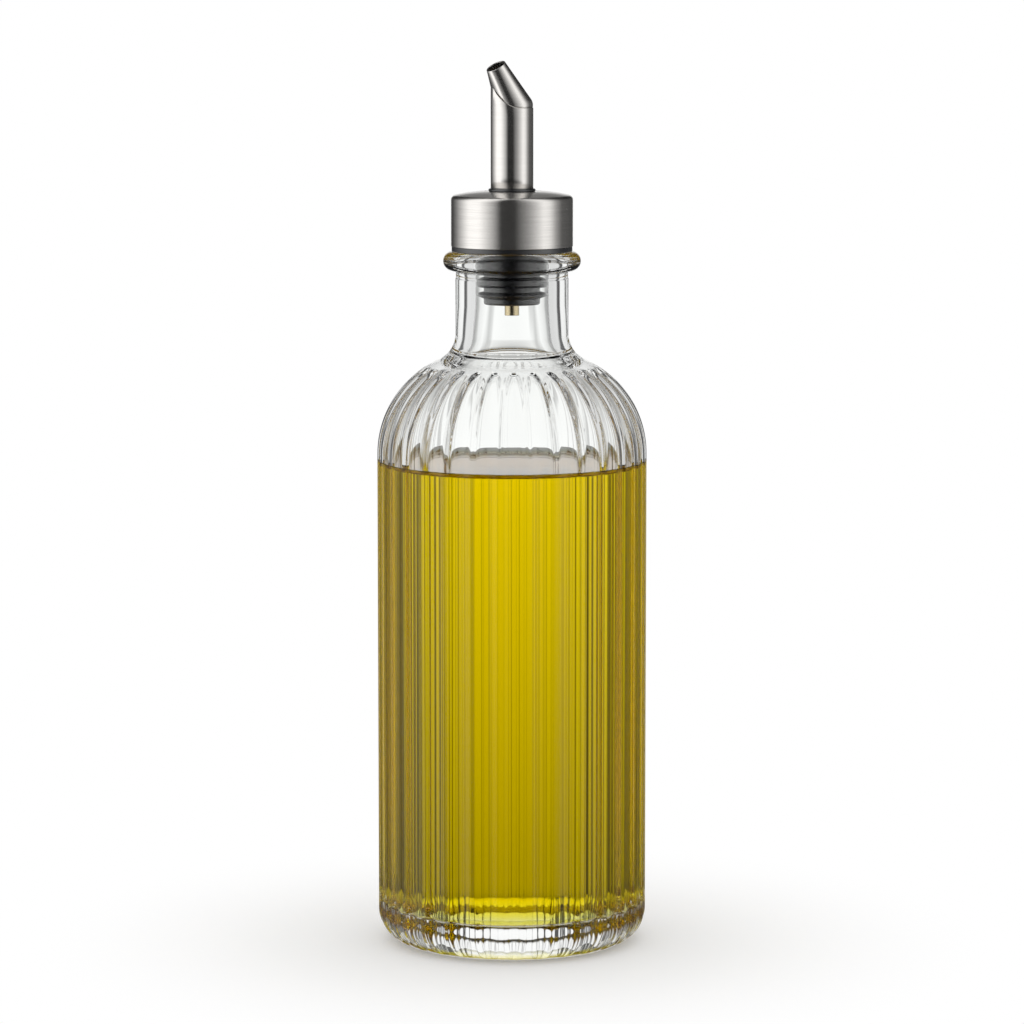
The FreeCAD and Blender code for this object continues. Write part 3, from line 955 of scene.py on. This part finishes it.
def build_nozzle():
    """The nozzle: columns that climb from the spout's rim past a knee to a tipped mouth, and the bore inside.

    The foot follows the rim, flush at the back and set in behind the drip lip. The knee stands upright at the
    back and dies away towards the lip. From there every column runs straight to the mouth's circle.
    """
    pourer = settings("pourer")
    angles = even_angles(240)
    tube, low, back = half_width("spout_tube"), bottom("nozzle"), top("spout_tube") - pourer.lip_rise
    edge = pourer.steel_round
    tilt = pourer.nozzle_tilt
    knee_z = back + pourer.nozzle_knee
    middle = np.array((pourer.nozzle_reach, 0, knee_z + pourer.nozzle_rise))
    room = angles + pourer.nozzle_azimuth  # the columns' directions once the nozzle is turned
    ahead = (1 + np.cos(room - pourer.lip_azimuth)) / 2
    foot = tube - pourer.foot_flush - (pourer.nozzle_inset - pourer.foot_flush) * ahead
    seam = spout_rim(foot, room)
    groove = pourer.groove

    def tipped_ring(radius, sunk=0.0):
        """A circle in the plane of the mouth, or sunk below it along the mouth's axis."""
        flat = ring_of(radius, -sunk, angles)
        x, y, z = flat[:, 0], flat[:, 1], flat[:, 2]
        leaning = (x * np.cos(tilt) + z * np.sin(tilt), y, z * np.cos(tilt) - x * np.sin(tilt))
        return np.stack(leaning, axis=-1) + middle

    def side(base, knee, mouth, steps):
        """Rings from the base past the rounded knee to the mouth."""
        to_mouth = mouth - knee
        reach = np.linalg.norm(to_mouth, axis=1)[:, None]
        start = base + (knee - base) * 0.4
        end = knee + to_mouth / reach * pourer.knee_round
        shares = np.linspace(0, 1, 9)[:, None, None]
        rounded = start * (1 - shares) ** 2 + 2 * knee * shares * (1 - shares) + end * shares**2
        shares = (np.arange(1, steps + 1) / steps)[:, None, None]
        return np.concatenate((base[None], rounded, end * (1 - shares) + mouth * shares))

    knee = ring_of(foot, seam + groove + pourer.nozzle_knee * (1 - ahead), angles)
    outer = side(ring_of(foot, seam + groove, angles), knee, tipped_ring(pourer.nozzle_mouth, edge), 14)
    bore = tube - pourer.nozzle_inset - pourer.foot_wall
    mouth_bore = pourer.nozzle_mouth - pourer.nozzle_wall
    inner = side(ring_of(bore, low, angles), ring_of(bore, knee_z, angles), tipped_ring(mouth_bore, edge), 10)[::-1]
    turns = np.linspace(0, np.pi / 2, 5)[1:]
    rim = [tipped_ring(pourer.nozzle_mouth - edge + edge * np.cos(t), edge - edge * np.sin(t)) for t in turns]
    rim += [tipped_ring(mouth_bore + edge - edge * np.sin(t), edge - edge * np.cos(t)) for t in turns - turns[0]]
    # The plug below the foot fills the spout
    plug = [ring_of(tube - pourer.tube_wall, height, angles) for height in (low, back - edge)]
    plug += [ring_of(foot - groove, seam, angles)]
    rings = np.concatenate((plug, outer, rim, inner))
    cos, sin = np.cos(pourer.nozzle_azimuth), np.sin(pourer.nozzle_azimuth)
    x, y = rings[..., 0].copy(), rings[..., 1].copy()
    rings[..., 0], rings[..., 1] = x * cos - y * sin, x * sin + y * cos
    piece = add_mesh("steel_nozzle", rings, bands(0, len(rings), len(angles), closed=True))
    dress(piece, "nozzle", turned_steel("brushed_nozzle_steel", pourer.steel, 0.2, 0.5, 0.06))


# ---------------------------------------------------------------- stage

# What a polished cylinder sees round it: (degrees to the right of the camera, brightness)
STUDIO = (
    (-180, 1.0), (-172, 0.9), (-166, 0.06), (-148, 0.06), (-130, 0.26), (-112, 0.7), (-90, 1.38), (-65, 1.4),
    (-50, 1.05), (-33, 0.5), (-22, 0.02), (6, 0.02), (16, 0.2), (30, 0.42), (46, 0.8), (62, 1.22), (76, 1.08),
    (92, 0.42), (108, 0.12), (140, 0.08), (166, 0.06), (172, 0.9), (180, 1.0),
)
# What shows through the glass's bent edges
FLAGS = (
    (-180, 1.0), (-173, 1.0), (-171, 0.62), (-169, 0.62), (-166, 0.97), (-156, 0.8), (-150, 0.42), (-143, 0.12),
    (-137, 0.12), (-134, 0.6), (-131, 0.6), (-128, 0.1), (-117, 0.1), (-112, 0.7), (-90, 0.9), (-40, 0.9),
    (0, 0.5), (40, 0.9), (90, 0.85), (112, 0.65), (117, 0.07), (128, 0.07), (131, 0.48), (134, 0.48),
    (137, 0.08), (143, 0.08), (150, 0.36), (156, 0.75), (166, 0.97), (169, 0.62), (171, 0.62), (173, 1.0),
    (180, 1.0),
)
# What light that has also bounced inside the glass comes from
INSIDE = (
    (-180, 1.0), (-165, 0.97), (-160, 0.1), (-149, 0.1), (-144, 0.75), (-110, 0.75), (-95, 1.3), (-50, 1.2),
    (-30, 0.4), (-20, 0.02), (8, 0.02), (22, 0.3), (50, 1.0), (95, 1.1), (110, 0.7), (144, 0.75), (149, 0.1),
    (160, 0.1), (165, 0.97), (180, 1.0),
)
BRIGHTEST = 1.4  # highest level in all three


def steps_round(tree, turn, steps):
    """Brightness round the horizon: straight ramps between (degrees, brightness) steps."""
    ramp = add_node(tree, "FloatCurve", {}, {"Value": turn})
    curve = ramp.mapping.curves[0]
    places = [(degrees / 360 + 0.5, level / BRIGHTEST) for degrees, level in steps]
    curve.points[0].location = places[0]
    curve.points[1].location = places[-1]
    for place in places[1:-1]:
        curve.points.new(*place)
    for point in curve.points:
        point.handle_type = "VECTOR"
    ramp.mapping.update()
    return add_node(
        tree, "Math", {1: BRIGHTEST}, {0: ramp.outputs["Value"]}, operation="MULTIPLY"
    ).outputs["Value"]


def dimmed(tree, light, height, heights, levels):
    """Light multiplied by a level that goes from the first to the second between two heights of its source."""
    level = add_node(
        tree,
        "MapRange",
        {"From Min": heights[0], "From Max": heights[1], "To Min": levels[0], "To Max": levels[1]},
        {"Value": height},
    )
    return add_node(
        tree, "Math", {}, {0: light, 1: level.outputs["Result"]}, operation="MULTIPLY"
    ).outputs["Value"]


def build_light():
    """Light from all round, fixed in the room: white behind the bottle, softboxes and dark flags beside it."""
    world = bpy.data.worlds.new("studio")
    bpy.context.scene.world = world
    world.use_nodes = True
    tree = world.node_tree
    tree.nodes.clear()
    where = add_node(tree, "TexCoord").outputs["Generated"]
    axes = add_node(tree, "SeparateXYZ", {}, {"Vector": where})
    front = add_node(tree, "Math", {1: -1.0}, {0: axes.outputs["Y"]}, operation="MULTIPLY")
    turn = add_node(tree, "Math", {}, {0: axes.outputs["X"], 1: front.outputs["Value"]}, operation="ARCTAN2")
    share = add_node(
        tree,
        "MapRange",
        {"From Min": -np.pi, "From Max": np.pi},
        {"Value": turn.outputs["Value"]},
    ).outputs["Result"]
    height = axes.outputs["Z"]
    # Above the sweep the studio is dark
    above = add_node(tree, "Math", {}, {0: height, 1: axes.outputs["Y"]}, operation="MULTIPLY")
    mirrored = dimmed(tree, steps_round(tree, share, STUDIO), above.outputs["Value"], (0.1, 0.22), (1.0, 0.2))
    # The sweep behind the bottle falls off towards the floor, and the studio is dark overhead
    through = dimmed(tree, steps_round(tree, share, FLAGS), height, (-0.205, -0.115), (0.53, 1.0))
    through = dimmed(tree, through, height, (-0.5, -0.22), (0.55, 1.0))
    through = dimmed(tree, through, height, (0.35, 0.6), (1.0, 0.12))
    bounced = dimmed(tree, steps_round(tree, share, INSIDE), height, (0.4, 0.65), (1.0, 0.15))
    bounced = dimmed(tree, bounced, height, (-0.5, -0.2), (0.5, 1.0))
    rays = add_node(tree, "LightPath").outputs
    both = add_node(
        tree,
        "Math",
        {},
        {0: rays["Is Transmission Ray"], 1: rays["Glossy Depth"]},
        operation="MULTIPLY",
    )
    # Each kind of ray in turn: seen directly, through glass, after a mirror, after both, after a matt surface
    seen = 1.0
    for kind, light in (
        (rays["Is Transmission Ray"], through),
        (rays["Glossy Depth"], mirrored),
        (both.outputs["Value"], bounced),
        (rays["Diffuse Depth"], 1.0),
    ):
        mix = add_node(tree, "Mix", {}, {"Factor": kind}, clamp_factor=True)
        for socket, value in (("A", seen), ("B", light)):
            if isinstance(value, float):
                mix.inputs[socket].default_value = value
            else:
                tree.links.new(value, mix.inputs[socket])
        seen = mix.outputs["Result"]
    sky = add_node(tree, "Background", {"Color": (1, 1, 1, 1)}, {"Strength": seen})
    output = add_node(tree, "OutputWorld")
    tree.links.new(sky.outputs["Background"], output.inputs["Surface"])


def floor_material():
    """A pale sweep, lit from below as well, so that it is white except where the bottle shades it."""
    stage = settings("stage")
    material, output = new_material("pale_sweep")
    tree = material.node_tree
    share = stage.floor_share
    paint = add_node(tree, "BsdfDiffuse", {"Color": (share, share, share, 1)})
    glow = add_node(tree, "Emission", {"Strength": 1 - share})
    both = add_node(tree, "AddShader", {}, {0: paint.outputs[0], 1: glow.outputs[0]})
    white = add_node(tree, "Emission", {"Strength": 1.0})
    place = add_node(tree, "TexCoord").outputs["Object"]
    away = add_node(tree, "VectorMath", {}, {0: place}, operation="LENGTH")
    fade = add_node(
        tree,
        "MapRange",
        {"From Min": stage.shade_start, "From Max": stage.shade_end},
        {"Value": away.outputs["Value"]},
        interpolation_type="SMOOTHSTEP",
    )
    mixed = add_node(
        tree, "MixShader", {}, {0: fade.outputs["Result"], 1: both.outputs[0], 2: white.outputs[0]}
    )
    # Glass and metal see the light of the room there, not the floor
    rays = add_node(tree, "LightPath").outputs
    bent = add_node(
        tree,
        "Math",
        {},
        {0: rays["Is Transmission Ray"], 1: rays["Is Glossy Ray"]},
        operation="MAXIMUM",
    )
    clear = add_node(tree, "BsdfTransparent")
    shown = add_node(
        tree, "MixShader", {}, {0: bent.outputs["Value"], 1: mixed.outputs[0], 2: clear.outputs[0]}
    )
    tree.links.new(shown.outputs[0], output.inputs["Surface"])
    return material


def build_stage():
    """The floor, a disc; the light; and the camera, which looks slightly down at the bottle from the front."""
    stage = settings("stage")
    columns, under = 96, -0.02 * MM
    radii = np.linspace(0, stage.floor_radius, 13)[1:]
    rings = around(np.stack((radii, np.full_like(radii, under)), axis=1), even_angles(columns))
    vertices = np.vstack(([(0, 0, under)], rings.reshape(-1, 3)))
    faces = fan(0, np.arange(1, columns + 1), upwards=True)
    faces += [face[::-1] for face in bands(1, len(radii), columns)]
    floor = add_mesh("pale_floor", vertices, faces)
    floor.data.materials.append(floor_material())
    build_light()

    camera = bpy.data.objects.new("camera", bpy.data.cameras.new("camera"))
    bpy.context.scene.collection.objects.link(camera)
    camera.data.sensor_width = 36.0
    camera.data.lens = stage.lens
    camera.location = (0, -stage.camera_distance, stage.camera_height)
    pitch = np.arctan2(stage.aim_height - stage.camera_height, stage.camera_distance)
    camera.rotation_euler = (np.pi / 2 + pitch, 0, 0)
    bpy.context.scene.camera = camera
    bpy.context.scene.view_settings.view_transform = "Standard"
    # Light crosses many walls of glass and oil before it leaves the bottle
    for kind, bounces in (("max", 32), ("transmission", 32), ("glossy", 16)):
        setattr(bpy.context.scene.cycles, kind + "_bounces", bounces)


# ---------------------------------------------------------------- add-on


class DISPENSER_OT_bottle(Operator):
    """Builds the fluted glass bottle"""

    bl_idname = "dispenser.bottle"
    bl_label = "Glass bottle"

    def execute(self, context):
        build_bottle()
        return {"FINISHED"}


class DISPENSER_OT_oil(Operator):
    """Fills the bottle with oil"""

    bl_idname = "dispenser.oil"
    bl_label = "Oil"

    def execute(self, context):
        build_oil()
        return {"FINISHED"}


class DISPENSER_OT_rubber(Operator):
    """Builds the rubber stopper and the ring round the spout"""

    bl_idname = "dispenser.rubber"
    bl_label = "Stopper and ring"

    def execute(self, context):
        build_stopper()
        build_ring()
        return {"FINISHED"}


class DISPENSER_OT_cap(Operator):
    """Builds the brushed steel cap"""

    bl_idname = "dispenser.cap"
    bl_label = "Steel cap"

    def execute(self, context):
        build_cap()
        return {"FINISHED"}


class DISPENSER_OT_tubes(Operator):
    """Builds the feed tube, the spout tube and the nozzle"""

    bl_idname = "dispenser.tubes"
    bl_label = "Tubes and nozzle"

    def execute(self, context):
        build_feed_tube()
        build_spout()
        build_nozzle()
        return {"FINISHED"}


class DISPENSER_OT_stage(Operator):
    """Builds the floor, the light and the camera"""

    bl_idname = "dispenser.stage"
    bl_label = "Stage"

    def execute(self, context):
        build_stage()
        return {"FINISHED"}


OPERATORS = (
    DISPENSER_OT_bottle,
    DISPENSER_OT_oil,
    DISPENSER_OT_rubber,
    DISPENSER_OT_cap,
    DISPENSER_OT_tubes,
    DISPENSER_OT_stage,
)


class DISPENSER_PT_build(Panel):
    """Lists the dispenser's pieces"""

    bl_idname = "DISPENSER_PT_build"
    bl_label = "Olive Oil Dispenser"
    bl_space_type = "VIEW_3D"
    bl_region_type = "UI"
    bl_category = "Dispenser"

    def draw(self, context):
        for operator in OPERATORS:
            self.layout.operator(operator.bl_idname)


SETTINGS = {"glass": GlassSettings, "oil": OilSettings, "pourer": PourerSettings, "stage": StageSettings}


def register():
    for group in SETTINGS.values():
        bpy.utils.register_class(group)
    for name, group in SETTINGS.items():
        setattr(bpy.types.Scene, "dispenser_" + name, PointerProperty(type=group))
    for operator in OPERATORS:
        bpy.utils.register_class(operator)
    bpy.utils.register_class(DISPENSER_PT_build)


def unregister():
    bpy.utils.unregister_class(DISPENSER_PT_build)
    for operator in reversed(OPERATORS):
        bpy.utils.unregister_class(operator)
    for name in SETTINGS:
        delattr(bpy.types.Scene, "dispenser_" + name)
    for group in SETTINGS.values():
        bpy.utils.unregister_class(group)


def main():
    """Registers the add-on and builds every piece."""
    register()
    bpy.ops.dispenser.bottle()
    bpy.ops.dispenser.oil()
    bpy.ops.dispenser.rubber()
    bpy.ops.dispenser.cap()
    bpy.ops.dispenser.tubes()
    bpy.ops.dispenser.stage()


if __name__ == "__main__":
    main()
